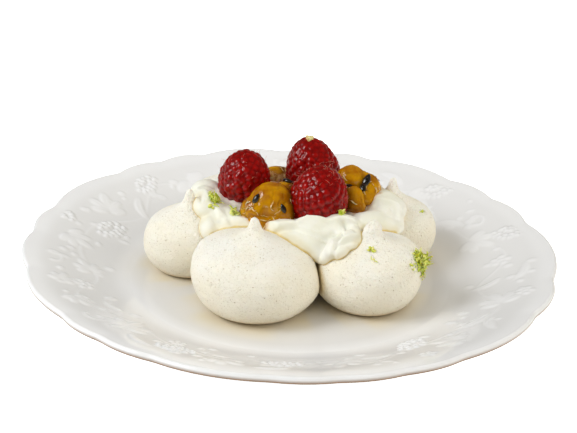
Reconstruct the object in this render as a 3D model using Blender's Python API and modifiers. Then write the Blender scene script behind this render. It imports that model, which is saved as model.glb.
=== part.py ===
"""A small pavlova on its plate: six meringue kisses piped in a ring, whipped cream in the middle,
three raspberries and four lumps of passion fruit pulp.

Metres, +Z up.  The foot of the plate stands on z = 0 with its centre on the Z axis.  -Y is the
front, where the cream runs down between two kisses.
"""

import math
from collections import namedtuple

import bmesh
import bpy
import numpy as np
from mathutils import Matrix, Vector

GAP = 0.0003  # between pieces that touch
CREAM_GAP = 0.0007  # wider, because the cut cream is rounded off again

# ---- The plate
RIM_RADIUS = 0.105
RIM_HEIGHT = 0.020
WELL_RADIUS = 0.064
WELL_HEIGHT = 0.0065
WALL = 0.004
LIP = 0.003
FOOT_RADIUS = 0.061
FOOT_WIDTH = 0.004
FOOT_DRAFT = 0.001
NOTCHES = (  # of the scalloped edge, in degrees from +X, with the steps to the next one
    (18, 3), (33, 3), (47, 6), (70, 3), (81, 3), (93, 5), (114, 3), (125.5, 3), (138.5, 6),
    (163.5, 3), (177, 4), (195.5, 5), (219, 3), (231, 3), (244, 5), (267, 3), (280, 3), (293, 3),
    (306, 6), (331, 4), (348.5, 7),
)
NOTCH_DEPTH = 0.0014
SMALL_RISE = 0.0003  # of the lobes between the notches, by how wide they are in degrees
LARGE_RISE = 0.00085
SMALL_LOBE = 14
LARGE_LOBE = 22
EDGE_WAVE = 0.4  # how much the edge rises for each step that it stands out

# ---- The meringue kisses.  peak is the radius of the drawn-out tip and taper how fast it widens
# downwards; lean is how far it leans; shoulder is the slope of the dome, which rises to uphill (degrees).
Kiss = namedtuple("Kiss", "x y widest tall peak taper lean_x lean_y shoulder uphill")
KISSES = {
    "kiss_front": Kiss(-0.0123, -0.0270, 0.0252, 0.0358, 0.0009, 0.3, -0.0012, 0.0005, 0.14, 180),
    "kiss_front_right": Kiss(0.0300, -0.0195, 0.0214, 0.0335, 0.0033, 0.1, 0.0010, 0, 0.14, 0),
    "kiss_right": Kiss(0.0400, 0.0220, 0.0196, 0.0343, 0.0008, 0.35, 0.0008, 0.0005, 0.05, 200),
    "kiss_back_right": Kiss(0.0115, 0.0470, 0.0188, 0.0310, 0.0009, 0.35, 0.0010, 0.0008, 0.03, 90),
    "kiss_back_left": Kiss(-0.0250, 0.0400, 0.0188, 0.0310, 0.0009, 0.35, -0.0008, 0.0006, 0.04, 120),
    "kiss_left": Kiss(-0.0402, 0.0048, 0.0187, 0.0330, 0.0009, 0.3, -0.0005, 0.0002, 0.06, 20),
}
KISS_STEPS = 20
KISS_RINGS = 12
SHARES = (0, 0.03, 0.08, 0.16, 0.25, 0.33, 0.45, 0.56, 0.62, 0.66, 0.70, 0.74, 0.79, 0.83, 0.88, 1)
BODY = (0.68, 0.76, 0.84, 0.93, 0.985, 1, 0.975, 0.895, 0.80, 0.68, 0.53, 0.38, 0.22, 0.12, 0.04, 0)
# BODY is the radius of a kiss without its peak, in widest radii, at these SHARES of its height.

# ---- The whipped cream, as rounded dollops that run into one
Dollop = namedtuple("Dollop", "x y z radius_x radius_y radius_z")
DOLLOPS = {
    "filling": Dollop(0, 0.012, 0.021, 0.022, 0.022, 0.014),
    "middle": Dollop(0.003, 0.014, 0.028, 0.029, 0.025, 0.0065),
    "left_shelf": Dollop(-0.027, 0.008, 0.032, 0.010, 0.014, 0.0048),
    "left_edge": Dollop(-0.0345, 0.006, 0.033, 0.005, 0.010, 0.0045),
    "left_lump": Dollop(-0.035, 0.017, 0.034, 0.006, 0.007, 0.004),
    "left_run": Dollop(-0.031, -0.005, 0.028, 0.005, 0.008, 0.0045),
    "front_left": Dollop(-0.019, -0.006, 0.029, 0.010, 0.009, 0.0045),
    "lip_left": Dollop(-0.002, -0.0115, 0.031, 0.008, 0.005, 0.004),
    "lip_middle": Dollop(0.008, -0.011, 0.0325, 0.008, 0.0045, 0.0042),
    "lip_right": Dollop(0.019, -0.009, 0.033, 0.008, 0.005, 0.004),
    "front_lobe": Dollop(0.004, -0.016, 0.027, 0.013, 0.008, 0.006),
    "valley_lobe": Dollop(0.013, -0.020, 0.0255, 0.005, 0.0075, 0.0045),
    "front_fold": Dollop(0.0150, -0.0125, 0.0275, 0.006, 0.005, 0.004),
    "right_lobe": Dollop(0.0225, -0.018, 0.0315, 0.006, 0.008, 0.004),
    "right_lobe_end": Dollop(0.0175, -0.023, 0.0295, 0.005, 0.006, 0.004),
    "front_right": Dollop(0.029, 0.002, 0.032, 0.009, 0.011, 0.0045),
    "right_swoosh": Dollop(0.034, 0.013, 0.033, 0.010, 0.012, 0.0045),
    "right_edge": Dollop(0.042, 0.012, 0.0315, 0.004, 0.008, 0.004),
    "right_run": Dollop(0.041, 0.0045, 0.028, 0.004, 0.006, 0.004),
    "right_hollow": Dollop(0.0365, -0.001, 0.0275, 0.006, 0.005, 0.004),
    "right_back": Dollop(0.0325, 0.0245, 0.0305, 0.007, 0.010, 0.005),
    "back_right": Dollop(0.019, 0.035, 0.0315, 0.012, 0.009, 0.0055),
    "back_right_run": Dollop(0.0275, 0.038, 0.027, 0.006, 0.006, 0.005),
    "back": Dollop(-0.006, 0.0355, 0.033, 0.015, 0.008, 0.005),
    "back_run": Dollop(-0.0055, 0.043, 0.0275, 0.006, 0.007, 0.005),
    "back_left": Dollop(-0.022, 0.025, 0.0325, 0.012, 0.009, 0.005),
    "back_left_run": Dollop(-0.033, 0.023, 0.029, 0.005, 0.006, 0.0045),
}
CREAM_VOXEL = 0.0012
CREAM_SHARE = 0.09  # share of the faces that is kept at the end

# ---- The fruit.  A raspberry's tip leans to +X and +Y by so many degrees.
Berry = namedtuple("Berry", "x y z width tall taper lean_x lean_y")
RASPBERRIES = {
    "raspberry_left": Berry(-0.0194, 0.0160, 0.0408, 0.0206, 0.0236, 0.14, 6, 0),
    "raspberry_back": Berry(0.0077, 0.0276, 0.0436, 0.0212, 0.0245, 0.24, -8, 2),
    "raspberry_front": Berry(0.0104, 0.0022, 0.0400, 0.0230, 0.0250, 0.14, 7, 0),
}
BERRY_STEPS = 22
BERRY_RINGS = 11
DRUPELET = 0.0005  # how far the small round parts of a berry stand out
PULP = {
    "pulp_front": Dollop(-0.0098, 0, 0.0364, 0.0102, 0.0086, 0.0090),
    "pulp_right": Dollop(0.0270, 0.0195, 0.0394, 0.0086, 0.0072, 0.0074),
    "pulp_low": Dollop(0.0246, 0.0092, 0.0350, 0.0038, 0.0038, 0.0052),
    "pulp_back": Dollop(-0.0066, 0.0305, 0.0370, 0.0062, 0.0054, 0.0046),
}
PULP_STEPS = 14
PULP_RINGS = 8
SWELLING = 0.06


def smoothstep(value):
    value = min(max(value, 0), 1)
    return value * value * (3 - 2 * value)


def material(name, colour, roughness):
    made = bpy.data.materials.new(name)
    made.use_nodes = True
    shader = made.node_tree.nodes["Principled BSDF"]
    shader.inputs["Base Color"].default_value = (*colour, 1)
    shader.inputs["Roughness"].default_value = roughness
    return made


def add_object(name, shape, collection, finish=None):
    mesh = bpy.data.meshes.new(name)
    shape.to_mesh(mesh)
    shape.free()
    mesh.shade_smooth()
    if finish:
        mesh.materials.append(finish)
    made = bpy.data.objects.new(name, mesh)
    collection.objects.link(made)
    return made


def add_cutter(name, shape, collection):
    cutter = add_object("room_for_" + name, shape, collection)
    cutter.hide_render = True
    cutter.display_type = "WIRE"
    return cutter


def cut_clear(made, cutters):
    for cutter in cutters:
        cut = made.modifiers.new(cutter.name, "BOOLEAN")
        cut.operation = "DIFFERENCE"
        cut.solver = "EXACT"
        cut.object = cutter


def turned(profile, steps):
    """A closed mesh turned from a profile of (radius, height) pairs that runs from axis to axis."""
    shape = bmesh.new()
    points = [shape.verts.new((radius, 0, height)) for radius, height in profile]
    edges = [shape.edges.new(pair) for pair in zip(points, points[1:])]
    bmesh.ops.spin(
        shape, geom=points + edges, cent=(0, 0, 0), axis=(0, 0, 1),
        angle=math.tau, steps=steps, use_merge=True,
    )
    bmesh.ops.remove_doubles(shape, verts=shape.verts, dist=0.00001)
    bmesh.ops.recalc_face_normals(shape, faces=shape.faces)
    return shape


# ---- Plate
def plate_top(radius):
    """Height of the plate's upper face: a flat well, then a border that rises and flattens out."""
    along = max(0, (radius - WELL_RADIUS) / (RIM_RADIUS - WELL_RADIUS))
    return WELL_HEIGHT + (RIM_HEIGHT - WELL_HEIGHT) * (0.45 * along + 0.55 * smoothstep(along))


def edge_points():
    """The angle and reach of each step of the scalloped edge, which stands out and back from the rim."""
    points = []
    for (start, steps), (end, _) in zip(NOTCHES, NOTCHES[1:] + ((NOTCHES[0][0] + 360, 0),)):
        large = min(max((end - start - SMALL_LOBE) / (LARGE_LOBE - SMALL_LOBE), 0), 1)
        rise = SMALL_RISE + (LARGE_RISE - SMALL_RISE) * large
        for step in range(steps):
            bow = math.sin(math.pi * step / steps) ** 0.8
            angle = math.radians(start + (end - start) * step / steps)
            points.append((angle, -NOTCH_DEPTH + (NOTCH_DEPTH + rise) * bow))
    return points


def plate(collection):
    border = [WELL_RADIUS + (RIM_RADIUS - WELL_RADIUS) * part for part in (0, 0.15, 0.4, 0.7, 0.93)]
    upper = [(0, WELL_HEIGHT)] + [(radius, plate_top(radius)) for radius in border]
    lip = [
        (RIM_RADIUS - 0.2 * LIP, RIM_HEIGHT - 0.05 * LIP),
        (RIM_RADIUS, RIM_HEIGHT - 0.35 * LIP),
        (RIM_RADIUS - 0.1 * LIP, RIM_HEIGHT - 0.75 * LIP),
        (RIM_RADIUS - 0.6 * LIP, RIM_HEIGHT - LIP),
    ]
    under = [(radius, plate_top(radius) - WALL) for radius in (border[3], border[2])]
    foot = [
        (FOOT_RADIUS + FOOT_DRAFT, WELL_HEIGHT - WALL),
        (FOOT_RADIUS, 0),
        (FOOT_RADIUS - FOOT_WIDTH, 0),
        (FOOT_RADIUS - FOOT_WIDTH - FOOT_DRAFT, WELL_HEIGHT - WALL),
        (0, WELL_HEIGHT - WALL),
    ]
    edge = edge_points()
    shape = turned(upper + lip + under + foot, len(edge))
    for point in shape.verts:
        radius = point.co.xy.length
        step = math.atan2(point.co.y, point.co.x) / math.tau * len(edge)
        angle, reach = edge[round(step) % len(edge)]
        reach *= smoothstep((radius - 0.8 * RIM_RADIUS) / (0.2 * RIM_RADIUS))
        point.co.xy = (radius + reach) * Vector((math.cos(angle), math.sin(angle)))
        point.co.z += EDGE_WAVE * reach
    add_object("plate", shape, collection, material("porcelain", (0.86, 0.87, 0.88), 0.12))


# ---- Meringue
def kiss_radius(share, peak, taper):
    """Radius of a kiss, in its widest radii, at a share of its height: a dome drawn out to a peak."""
    body = float(np.interp(share, SHARES, BODY))
    spire = (peak + taper * (1 - share)) * smoothstep((share - 0.5) / 0.3)
    rounding = math.sqrt(min(1, (1 - share) / (0.6 * peak)))
    return rounding * (body**3 + spire**3) ** (1 / 3)


def kiss_shape(name, margin):
    """One kiss with a margin all round: turned, its peak leant, pressed flat against its neighbours."""
    kiss = KISSES[name]
    shares = [1 - (1 - ring / KISS_RINGS) ** 1.4 for ring in range(KISS_RINGS)]
    radii = [kiss_radius(share, kiss.peak / kiss.widest, kiss.taper) * kiss.widest for share in shares]
    side = [(radius + margin, share * kiss.tall) for radius, share in zip(radii, shares)]
    shape = turned([(0, -margin)] + side + [(0, kiss.tall + margin)], KISS_STEPS)
    uphill = Vector((math.cos(math.radians(kiss.uphill)), math.sin(math.radians(kiss.uphill))))
    for point in shape.verts:
        share = point.co.z / kiss.tall
        point.co.z += kiss.shoulder * uphill.dot(point.co.xy) * smoothstep(2 * share)
        point.co.x += kiss.lean_x * share**2
        point.co.y += kiss.lean_y * share**2
    for other in KISSES.values():
        apart = Vector((other.x - kiss.x, other.y - kiss.y))
        reach = (apart.length + kiss.widest - other.widest) / 2 - GAP / 2 + margin
        if other != kiss and reach < kiss.widest + margin:
            towards = apart.normalized()
            for point in shape.verts:
                point.co.xy -= max(0, towards.dot(point.co.xy) - reach) * towards
    place = Matrix.Translation((kiss.x, kiss.y, WELL_HEIGHT + GAP))
    bmesh.ops.transform(shape, matrix=place, verts=shape.verts)
    return shape


# ---- Fruit
def berry_shape(name, margin, bumps=True):
    """A raspberry with a margin all round: an egg, its tip up and leant, with staggered small bumps."""
    berry = RASPBERRIES[name]
    shape = bmesh.new()
    bmesh.ops.create_uvsphere(shape, u_segments=BERRY_STEPS, v_segments=BERRY_RINGS, radius=1)
    for point in shape.verts:
        outward = point.co.copy()
        ring = round(outward.angle(Vector((0, 0, 1))) / math.pi * BERRY_RINGS)
        step = round(math.atan2(outward.y, outward.x) / math.tau * BERRY_STEPS)
        taper = 1 - berry.taper * outward.z + 0.08 * outward.z**2
        radii = Vector((taper * berry.width, taper * berry.width, berry.tall)) / 2
        bump = -DRUPELET if bumps and (ring + step) % 2 else DRUPELET
        point.co = radii * outward + outward * (margin + bump * min(1, 1.5 * outward.xy.length))
    lean = Matrix.Rotation(math.radians(berry.lean_x), 4, "Y")
    lean = lean @ Matrix.Rotation(math.radians(-berry.lean_y), 4, "X")
    place = Matrix.Translation((berry.x, berry.y, berry.z)) @ lean
    bmesh.ops.transform(shape, matrix=place, verts=shape.verts)
    return shape


def pulp_shape(name, margin):
    """A lump of pulp with a margin all round: a squat ball with shallow swellings."""
    lump = PULP[name]
    radii = Vector((lump.radius_x, lump.radius_y, lump.radius_z))
    shape = bmesh.new()
    bmesh.ops.create_uvsphere(shape, u_segments=PULP_STEPS, v_segments=PULP_RINGS, radius=1)
    for point in shape.verts:
        x, y, z = outward = point.co.copy()
        swell = 1 + SWELLING * math.sin(3 * x + 1) * math.cos(2.5 * y + 2 * z)
        point.co = swell * radii * outward + margin * outward
    bmesh.ops.transform(shape, matrix=Matrix.Translation((lump.x, lump.y, lump.z)), verts=shape.verts)
    return shape


# ---- Cream
def add_remesh(made):
    remesh = made.modifiers.new("one skin", "REMESH")
    remesh.mode = "VOXEL"
    remesh.voxel_size = CREAM_VOXEL


def cream(collection, cutters):
    """Dollops run together, then cut clear of the meringue and the fruit and rounded off again."""
    shape = bmesh.new()
    for dollop in DOLLOPS.values():
        size = Matrix.Diagonal((dollop.radius_x, dollop.radius_y, dollop.radius_z, 1))
        place = Matrix.Translation((dollop.x, dollop.y, dollop.z)) @ size
        bmesh.ops.create_icosphere(shape, subdivisions=4, radius=1, matrix=place)
    made = add_object("cream", shape, collection, material("whipped_cream", (0.93, 0.92, 0.84), 0.4))
    add_remesh(made)
    soften = made.modifiers.new("soften", "SMOOTH")
    soften.iterations = 4
    cut_clear(made, cutters)
    add_remesh(made)
    fewer = made.modifiers.new("fewer faces", "DECIMATE")
    fewer.ratio = CREAM_SHARE


def main():
    for old in list(bpy.data.objects):
        bpy.data.objects.remove(old)
    pavlova = bpy.data.collections.new("pavlova")
    tools = bpy.data.collections.new("cutters")
    for collection in (pavlova, tools):
        bpy.context.scene.collection.children.link(collection)

    plate(pavlova)
    for name in KISSES:
        add_object(name, kiss_shape(name, 0), pavlova, material(name, (0.90, 0.86, 0.78), 0.75))
    for name in RASPBERRIES:
        add_object(name, berry_shape(name, 0), pavlova, material(name, (0.42, 0.01, 0.015), 0.4))

    berry_rooms = [
        add_cutter(name, berry_shape(name, CREAM_GAP, bumps=False), tools) for name in RASPBERRIES
    ]
    for name in PULP:
        lump = add_object(name, pulp_shape(name, 0), pavlova, material(name, (0.75, 0.35, 0.02), 0.15))
        cut_clear(lump, berry_rooms)

    kiss_rooms = [add_cutter(name, kiss_shape(name, CREAM_GAP), tools) for name in KISSES]
    pulp_rooms = [add_cutter(name, pulp_shape(name, CREAM_GAP), tools) for name in PULP]
    cream(pavlova, kiss_rooms + berry_rooms + pulp_rooms)


main()
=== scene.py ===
"""The pavlova's looks around its CAD frame: a relief-edged porcelain plate, six meringue kisses,
whipped cream, raspberries, passion fruit pulp with its seeds, and lime zest.

Metres, +Z up, -Y is the front. Sizes in the tables are millimetres and are turned into metres
where a piece is made.
"""

import random
from collections import namedtuple
from math import cos, radians, sin, sqrt, tau

import bpy
import numpy as np
from mathutils import Matrix, Vector, noise
from mathutils.bvhtree import BVHTree
from mathutils.kdtree import KDTree


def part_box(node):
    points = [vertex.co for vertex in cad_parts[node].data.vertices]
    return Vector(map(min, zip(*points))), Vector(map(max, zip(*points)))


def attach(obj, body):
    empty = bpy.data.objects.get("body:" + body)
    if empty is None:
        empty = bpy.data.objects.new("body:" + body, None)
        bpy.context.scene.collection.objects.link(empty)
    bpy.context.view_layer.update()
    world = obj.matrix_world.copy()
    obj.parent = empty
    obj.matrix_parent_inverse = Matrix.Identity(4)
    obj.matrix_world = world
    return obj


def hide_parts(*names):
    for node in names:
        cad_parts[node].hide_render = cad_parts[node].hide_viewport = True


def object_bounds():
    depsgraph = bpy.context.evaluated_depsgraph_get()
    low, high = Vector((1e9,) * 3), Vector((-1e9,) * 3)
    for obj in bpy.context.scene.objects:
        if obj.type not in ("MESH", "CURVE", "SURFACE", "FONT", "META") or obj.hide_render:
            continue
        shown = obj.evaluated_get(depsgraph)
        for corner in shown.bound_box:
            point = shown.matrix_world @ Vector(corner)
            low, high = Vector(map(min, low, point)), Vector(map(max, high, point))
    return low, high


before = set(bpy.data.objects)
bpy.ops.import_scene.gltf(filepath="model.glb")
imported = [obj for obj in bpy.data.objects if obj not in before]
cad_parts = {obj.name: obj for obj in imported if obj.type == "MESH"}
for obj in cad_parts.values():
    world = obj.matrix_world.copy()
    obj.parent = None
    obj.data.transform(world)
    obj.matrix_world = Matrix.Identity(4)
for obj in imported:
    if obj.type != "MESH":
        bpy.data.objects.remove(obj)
bpy.ops.object.select_all(action="DESELECT")
CAD_LOW, CAD_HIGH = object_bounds()
MM = 0.001
MERGE = 0.00001
DICE = 7

# ---- The plate
RIM = 105.0
RIM_HEIGHT = 20.0
WELL = 64.0
WELL_HEIGHT = 6.5
WALL = 4.0
LIP = 3.0
FOOT = 61.0
FOOT_WIDTH = 4.0
NOTCHES = (
    18, 33, 47, 70, 81, 93, 114, 125.5, 138.5, 163.5, 177, 195.5, 219, 231, 244, 267, 280, 293,
    306, 331, 348.5,
)
NOTCH_DEPTH = 1.4
SMALL_RISE = 0.3
LARGE_RISE = 0.85
EDGE_WAVE = 0.4
PLATE_STEPS = 924

# ---- The relief on the border: distance from the middle, angle from +X, turn and size
RELIEF = {
    "grapes": [
        (79, 161, 100, 1), (91, 135, 60, 0.9), (97, 165, 20, 0.7), (88, 244, 70, 1),
        (84, 269, 80, 1), (75, 307, 60, 1), (94, 16, 30, 1), (93, 47, 40, 1),
        (82, 91, 90, 0.9),
    ],
    "leaf": [
        (89, 152, 40, 1), (84, 121, 150, 1.1), (87, 174, 200, 0.95), (80, 188, 60, 0.8),
        (91, 199, 110, 0.7), (90, 211, 250, 0.75), (82, 226, 160, 1.1), (90, 257, 300, 0.9),
        (84, 283, 20, 1.05), (87, 312, 150, 1), (85, 340, 240, 1), (82, 18, 60, 1),
        (84, 50, 100, 1.05), (89, 78, 130, 0.9),
    ],
    "blade": [
        (90, 106, 20, 1), (80, 143, -60, 1), (77, 212, -20, 0.7), (92, 236, 20, 1),
        (80, 252, 10, 1), (93, 267, -10, 0.9), (79, 294, 15, 1), (82, 326, 20, 1.1),
        (92, 325, 150, 1), (78, 352, 60, 0.9), (91, 355, 20, 1), (80, 33, -30, 1),
        (92, 61, 20, 1),
    ],
    "blossom": [
        (83, 200, 0, 1), (78, 240, 0, 0.8), (93, 302, 0, 0.8), (94, 343, 0, 0.9), (85, 4, 0, 1),
        (81, 65, 0, 0.9),
    ],
    "curl": [
        (92, 187, 0, 1), (92, 222, 140, 1), (92, 291, 20, 0.9), (90, 28, 200, 0.9),
        (93, 93, 30, 0.9),
    ],
}
RELIEF_HEIGHT = 0.57
RELIEF_INNER = 67
RELIEF_OUTER = 99
MOTIF_REACH = 16
BUDS = 130
BUD_DICE = 11

# ---- The meringue kisses, in millimetres
Kiss = namedtuple("Kiss", "x y widest tall peak taper lean_x lean_y shoulder uphill")
KISSES = {
    "front": Kiss(-12.3, -27.0, 25.2, 35.8, 1.15, 0.5, -1.2, 0.5, 0.10, 180),
    "front_right": Kiss(30.0, -19.5, 21.4, 33.5, 3.3, 0.1, 1.0, 0, 0.14, 0),
    "right": Kiss(40.0, 22.0, 19.6, 34.3, 0.9, 0.55, 0.8, 0.5, 0.05, 200),
    "back_right": Kiss(11.5, 47.0, 18.8, 31.0, 0.9, 0.35, 1.0, 0.8, 0.03, 90),
    "back_left": Kiss(-25.0, 40.0, 18.8, 31.0, 0.9, 0.35, -0.8, 0.6, 0.04, 120),
    "left": Kiss(-40.2, 4.8, 18.7, 33.0, 1.0, 0.6, -0.5, 0.2, 0.06, 20),
}
KISS_STEPS = 216
KISS_STEP = 0.62
# The dome of a kiss: shares of its height from the plate up, and its radius at each
KISS_SHARES = (
    0, 0.03, 0.08, 0.16, 0.25, 0.33, 0.45, 0.56, 0.62, 0.66, 0.70, 0.74, 0.79, 0.83, 0.88, 1,
)
KISS_BODY = (
    0.68, 0.76, 0.84, 0.93, 0.985, 1, 0.975, 0.895, 0.80, 0.68, 0.53, 0.38, 0.22, 0.12, 0.04, 0,
)
GAP = 0.02
SEAM_SOFTNESS = 0.14

# ---- The cream, in lumps: the place of the middle and the three radii
CREAM = [
    (0, 12, 21, 22, 22, 14), (3, 14, 28, 29, 25, 6.5), (-27, 8, 32, 10, 14, 4.8),
    (-34.5, 6, 33, 5, 10, 4.5), (-35, 17, 34, 6, 7, 4), (-31, -5, 28, 5, 8, 4.5),
    (-19, -6, 29, 10, 9, 4.5), (-2, -11.5, 31, 8, 5, 4), (8, -11, 32.5, 8, 4.5, 4.2),
    (19, -9, 33, 8, 5, 4), (4, -16, 27, 13, 8, 6), (13, -20, 26.3, 5, 7.2, 4.3),
    (22.5, -18, 31.5, 6, 8, 4), (17.5, -23, 29.5, 5, 6, 4), (29, 2, 32, 9, 11, 4.5),
    (34, 13, 33, 10, 12, 4.5), (42, 12, 31.5, 4, 8, 4), (41, 4.5, 28, 4, 6, 4),
    (32.5, 24.5, 30.5, 7, 10, 5), (19, 35, 31.5, 12, 9, 5.5), (27.5, 38, 27, 6, 6, 5),
    (-6, 35.5, 33, 15, 8, 5), (-5.5, 43, 27.5, 6, 7, 5), (-22, 25, 32.5, 12, 9, 5),
    (-33, 23, 29, 5, 6, 4.5), (15, -13, 29, 8, 6, 5), (36, -1, 28.5, 7, 6, 5),
    (31, -3, 30.5, 6, 6, 4),
]
CREAM_VOXEL = 0.5
CREAM_ROUNDS = 34

# Marks that the spoon left, each a width, a lift (a groove if below 0) and the path it follows
STROKES = [
    (1.5, -2.3, [
        (21, -14.5, 35.6), (20.6, -16.9, 35.3), (17.2, -18.1, 33.2), (14.3, -18.6, 30.6),
        (12, -23, 29.4), (10.2, -25.6, 27.6),
    ]),
    (1.0, -1.6, [
        (19.5, -21, 34.2), (17.8, -24.5, 33), (16.8, -27.8, 31), (16.2, -28.1, 28.2),
    ]),
    (2.2, -1.1, [(-27, 1, 35.4), (-26, -4, 33.8), (-24.1, -10.7, 31.9)]),
    (1.5, -0.7, [(-30.5, -2, 35), (-29.5, -8, 32), (-29, -13, 29)]),
    (1.1, 1.1, [
        (-10, -10.5, 31.5), (-4.3, -14, 34), (2.2, -13, 34.6), (6.4, -11.6, 36.4),
        (12.9, -11.7, 35.8), (20.6, -11.2, 37), (24.9, -11.7, 35.5),
    ]),
    (0.9, -1.1, [
        (-5.6, -16.1, 31.2), (1.4, -15.6, 32.8), (6, -17.8, 32.8), (10.5, -18.5, 32.2),
        (13.6, -18.4, 29.8),
    ]),
    (1.0, 0.7, [
        (-5, -14.4, 31.8), (1.4, -13.8, 33.4), (6, -15.8, 33.4), (10.8, -16.6, 32.8),
    ]),
    (0.9, 1.0, [(16.6, -25.4, 32.7), (20.7, -23.4, 34.2), (25.2, -22.2, 34.4)]),
    (0.9, -1.0, [(17.4, -27, 31.5), (20.7, -25.6, 33), (25.2, -24.2, 33)]),
    (1.0, -1.2, [(19.5, -12.9, 35.5), (22.6, -14.6, 35.2), (24.7, -19, 35.5)]),
    (1.4, 0.9, [(31, 11.5, 37), (35.2, 9, 36.8), (41.5, 8.6, 36), (43.8, 5.5, 33.7)]),
    (1.2, -0.8, [(34, 6.4, 36.4), (39.5, 6, 36), (42, 3, 34)]),
    (1.2, 0.8, [(-31.4, -1.1, 35), (-26.1, -5.4, 32.2), (-24.4, -11, 31)]),
    (1.0, -1.3, [(-38.8, 9.6, 35.4), (-36.6, 5.5, 37), (-35.8, 1, 36.8)]),
    (1.1, 0.9, [(-37.6, 12, 36), (-34.3, 8.4, 37.2), (-32.6, 4, 37)]),
    (4.0, -1.2, [(30, 3, 36.5), (36, 3.5, 36.2), (40, 5, 35)]),
    (4.6, -3.2, [(-26, 7, 36), (-22, 3, 35), (-17, 2, 34)]),
    (4.6, -3.6, [(22, 2, 36), (26, 4.5, 36.3), (29, 9, 36)]),
    (1.2, -0.8, [(-41, 14, 36), (-36.5, 15.5, 38), (-31, 14.5, 37)]),
    (1.6, -0.8, [(28, 32, 36), (21, 37, 36), (14, 41, 33)]),
    (1.8, -0.9, [(4, 42, 35), (-4, 39.5, 38), (-12, 41, 35)]),
    (1.6, -0.8, [(-15, 34, 37), (-22, 31, 37), (-30, 27, 33)]),
]

# ---- The fruit
Berry = namedtuple("Berry", "x y z width tall taper lean_x lean_y")
RASPBERRIES = {
    "left": Berry(-19.4, 16.0, 40.8, 20.6, 23.6, 0.17, 6, 0),
    "back": Berry(7.7, 27.6, 43.6, 21.2, 24.5, 0.3, -12, 2),
    "front": Berry(10.4, 2.2, 40.0, 23.0, 25.0, 0.19, 9, 0),
}
# A drupelet's radius and the berry's area that it takes up
DRUPELET = 2.06
DRUPELET_AREA = 9.8
BERRY_VOXEL = 0.34
BERRY_ROUNDS = 5
GOLDEN_TURN = 2.39996
HAIRS = {"left": 26, "back": 30, "front": 70}
# How far the bare end of the core stands above the drupelets of the berry at the back
NUB = 1.0
NUB_VOXEL = 0.22
NUB_ROUNDS = 2
# The masses of pulp, in lumps as the cream is
PULP = {
    "front": [
        (-8.0, 0.3, 36.6, 8.8, 8.0, 8.8), (-13.6, -2.0, 34.4, 6.4, 6.2, 6.2),
        (-4.2, -2.4, 34.0, 5.6, 5.6, 6.6), (-9.0, -7.0, 31.8, 9.5, 5.0, 2.8),
        (-3.0, 10.0, 37.0, 5.0, 5.0, 5.0),
    ],
    "right": [
        (23.4, 19.0, 40.9, 5.8, 5.5, 5.6), (30.6, 18.2, 37.0, 5.0, 6.2, 6.2),
        (27.4, 19.6, 38.4, 5.2, 5.6, 5.6), (28.6, 13.0, 35.6, 5.0, 4.4, 3.4),
    ],
    "low": [(24.4, 9.8, 35.8, 4.2, 4.4, 5.6), (25.2, 7.6, 33.8, 4.0, 3.6, 3.2)],
    "back": [
        (-6.6, 30.5, 36.0, 6.4, 5.2, 4.2), (-10.4, 30.0, 35.4, 3.6, 4.0, 3.4),
        (-2.2, 31.0, 36.0, 3.4, 4.0, 3.4),
    ],
}
PULP_VOXEL = 0.36
PULP_ROUNDS = 30
# How high the wet film climbs from the foot of each mass, and how many fibres lie on it
FILM = {"front": 4.4, "right": 3.6, "low": 1.5, "back": 8.0}
FIBRES = {"front": 64, "right": 56, "low": 8, "back": 20}
# Where each seed lies on the pulp, its length and its turn
SEEDS = [
    (-14.8, -5.9, 41.6, 4.4, -12), (-3.6, -6.6, 37.8, 3.9, 15), (-2.2, 11.0, 42.0, 4.6, 80),
    (0.6, 12.4, 41.4, 4.2, 60), (29.4, 14.2, 43.0, 5.8, -10), (28.0, 12.7, 39.9, 5.0, 30),
    (22.9, 13.6, 40.4, 3.2, 70), (24.5, 26.0, 41.0, 4.6, 30), (33.5, 24.0, 39.0, 4.6, 80),
    (-8.0, 36.4, 35.4, 4.4, 70), (-10.5, 7.8, 41.0, 4.2, 60),
]

# ---- The lime zest: where a pinch fell, how far it spread, how high it piled and how many shreds
ZEST = [
    (49.4, -25.2, 26.6, 3.7, 4.0, 260), (50.0, -27.0, 22.0, 2.0, 1.2, 16),
    (46.6, -30.0, 26.0, 2.6, 0.5, 7), (47.6, -23.5, 28.6, 1.4, 1.4, 14),
    (30.4, -27.8, 31.6, 1.2, 0.3, 5), (31.2, -32.6, 29.6, 1.0, 0.2, 3),
    (53.0, 17.0, 28.6, 1.0, 0.4, 4), (19.4, -8.4, 37.6, 1.6, 1.2, 22),
    (-30.8, 3.0, 36.4, 2.5, 2.6, 80), (-31.0, -0.4, 35.4, 1.5, 0.6, 7),
    (-22.6, -3.0, 34.4, 2.0, 1.2, 34), (-20.0, -5.4, 33.8, 0.9, 0.3, 4),
    (-20.0, 36.0, 36.0, 2.4, 1.2, 16), (14.0, 40.0, 35.0, 2.0, 1.0, 12),
    (-29.0, 46.0, 29.0, 2.2, 0.6, 8),
]

# ---- The lights: place, size, watts, colour and whether gloss mirrors them
LIGHTS = {
    "window": ((-0.82, -0.2, 0.6), 0.7, 2.3, (0.94, 0.97, 1.0), True),
    "glint": ((-0.6, -0.24, 0.58), 0.34, 3.0, (0.97, 0.99, 1.0), True),
    "ceiling": ((0.0, 0.1, 1.2), 1.6, 1.5, (0.98, 0.98, 1.0), False),
    "fill": ((0.95, -0.2, 0.42), 1.2, 6.8, (1.0, 0.97, 0.89), False),
}
LIT_PLACE = (0, 0, 0.02)
SKY = (1.0, 0.945, 0.80, 1)
SKY_LIGHT = 0.41
SKY_MIRRORED = 0.09

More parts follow.
